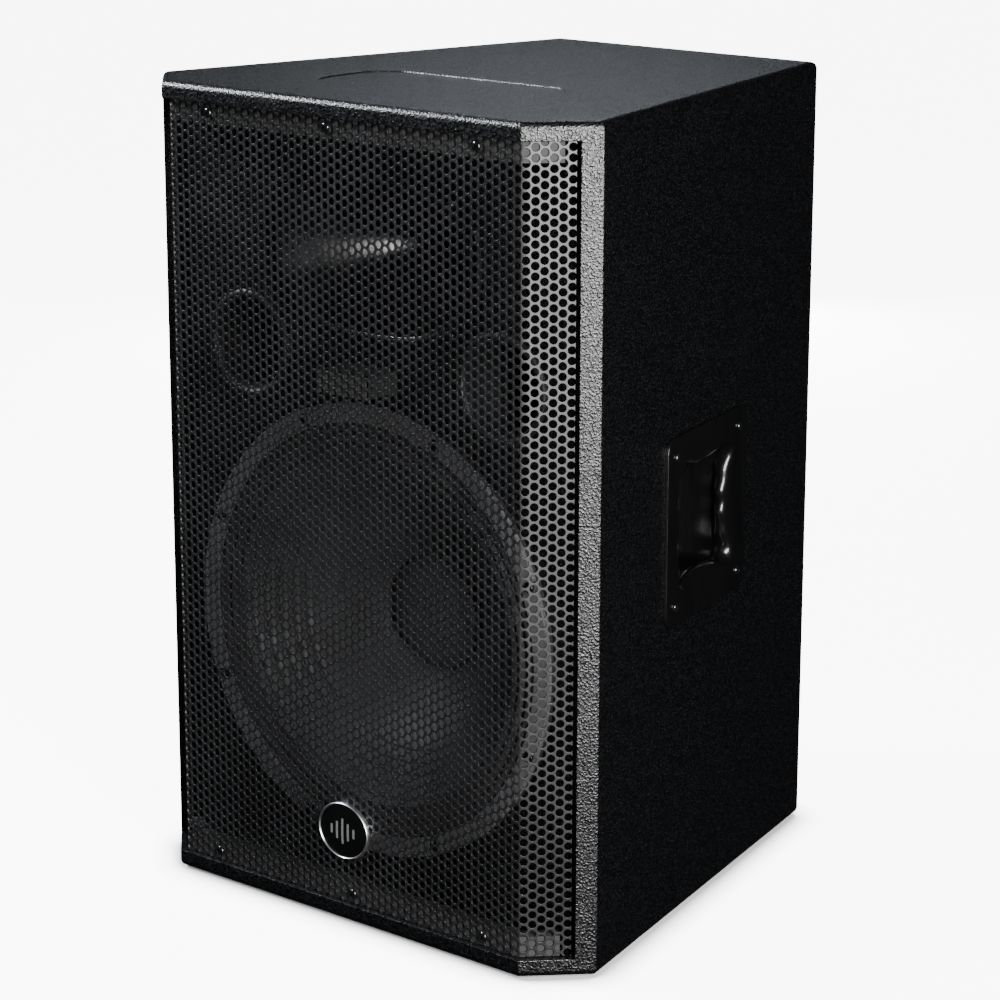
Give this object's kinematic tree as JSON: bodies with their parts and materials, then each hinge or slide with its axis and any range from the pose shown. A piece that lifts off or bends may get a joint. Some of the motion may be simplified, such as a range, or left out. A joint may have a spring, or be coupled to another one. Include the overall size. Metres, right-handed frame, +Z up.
{
  "type": "pa speaker cabinet",
  "caption": "Tapered two-way PA loudspeaker cabinet with a bent perforated steel grille, woofer, horn, reflex ports, recessed side handles and a pole socket.",
  "frame": {"origin": "centre of the footprint, on the surface that the rubber feet stand on", "axes": "+X to the right seen from the front, +Y from the grille to the rear panel, +Z up"},
  "size_m": [0.4736, 0.465, 0.69],
  "materials": {
    "cabinet_paint": "matte",
    "batten_wood": "matte",
    "grille_steel": "satin",
    "black_steel": "satin",
    "chrome_trim": "polished",
    "gloss_black": "gloss",
    "black_plastic": "satin",
    "rubber_foot": "matte",
    "gasket_board": "matte",
    "cone_paper": "matte",
    "surround_cloth": "matte",
    "motor_steel": "satin",
    "ferrite": "matte",
    "diaphragm_metal": "satin",
    "copper_winding": "satin",
    "circuit_board": "satin",
    "wadding": "matte"
  },
  "bodies": {
    "cabinet": {"acoustic_wadding": "wadding", "back_plate": "motor_steel", "badge_dome": "gloss_black", "badge_rim": "chrome_trim", "baffle": "cabinet_paint", "bottom_panel": "cabinet_paint", "crossover_board": "circuit_board", "crossover_capacitor": "black_plastic", "crossover_coil": "copper_winding", "foot_front_left": "rubber_foot", "foot_front_right": "rubber_foot", "foot_rear_left": "rubber_foot", "foot_rear_right": "rubber_foot", "grille": "grille_steel", "grille_block": "batten_wood", "grille_rail_bottom": "batten_wood", "grille_rail_top": "batten_wood", "grille_screw_bottom_left": "black_steel", "grille_screw_bottom_middle": "black_steel", "grille_screw_bottom_right": "black_steel", "grille_screw_top_left": "black_steel", "grille_screw_top_middle": "black_steel", "grille_screw_top_right": "black_steel", "handle_left": "gloss_black", "handle_right": "gloss_black", "hf_driver_body": "black_steel", "hf_driver_cover": "black_plastic", "horn": "gloss_black", "horn_screw_bottom_left": "black_steel", "horn_screw_bottom_right": "black_steel", "horn_screw_top_left": "black_steel", "horn_screw_top_right": "black_steel", "input_plate": "black_steel", "magnet": "ferrite", "pole_socket": "black_steel", "port_tube_left": "black_plastic", "port_tube_right": "black_plastic", "rear_panel": "cabinet_paint", "side_panel_left": "cabinet_paint", "side_panel_right": "cabinet_paint", "socket_left": "black_plastic", "socket_right": "black_plastic", "spider": "surround_cloth", "top_panel": "cabinet_paint", "top_plate": "motor_steel", "woofer_basket": "black_steel", "woofer_bolt_1": "black_steel", "woofer_bolt_2": "black_steel", "woofer_bolt_3": "black_steel", "woofer_bolt_4": "black_steel", "woofer_bolt_5": "black_steel", "woofer_bolt_6": "black_steel", "woofer_bolt_7": "black_steel", "woofer_bolt_8": "black_steel", "woofer_gasket": "gasket_board", "woofer_surround": "surround_cloth"},
    "woofer_moving_assembly": {"woofer_cone": "cone_paper", "dust_cap": "cone_paper", "voice_coil": "copper_winding"},
    "hf_moving_diaphragm": {"hf_diaphragm": "diaphragm_metal"}
  },
  "joints": [
    {"name": "cone_travel", "type": "slide", "parent": "cabinet", "child": "woofer_moving_assembly", "axis": [0, 1, 0], "range_m": [-0.006, 0.006], "stiffness_N_per_m": 5000, "deforming": ["woofer_surround", "spider"]},
    {"name": "hf_diaphragm_travel", "type": "slide", "parent": "cabinet", "child": "hf_moving_diaphragm", "axis": [0, 1, 0], "range_m": [-0.0003, 0.0003], "stiffness_N_per_m": 2000}
  ]
}
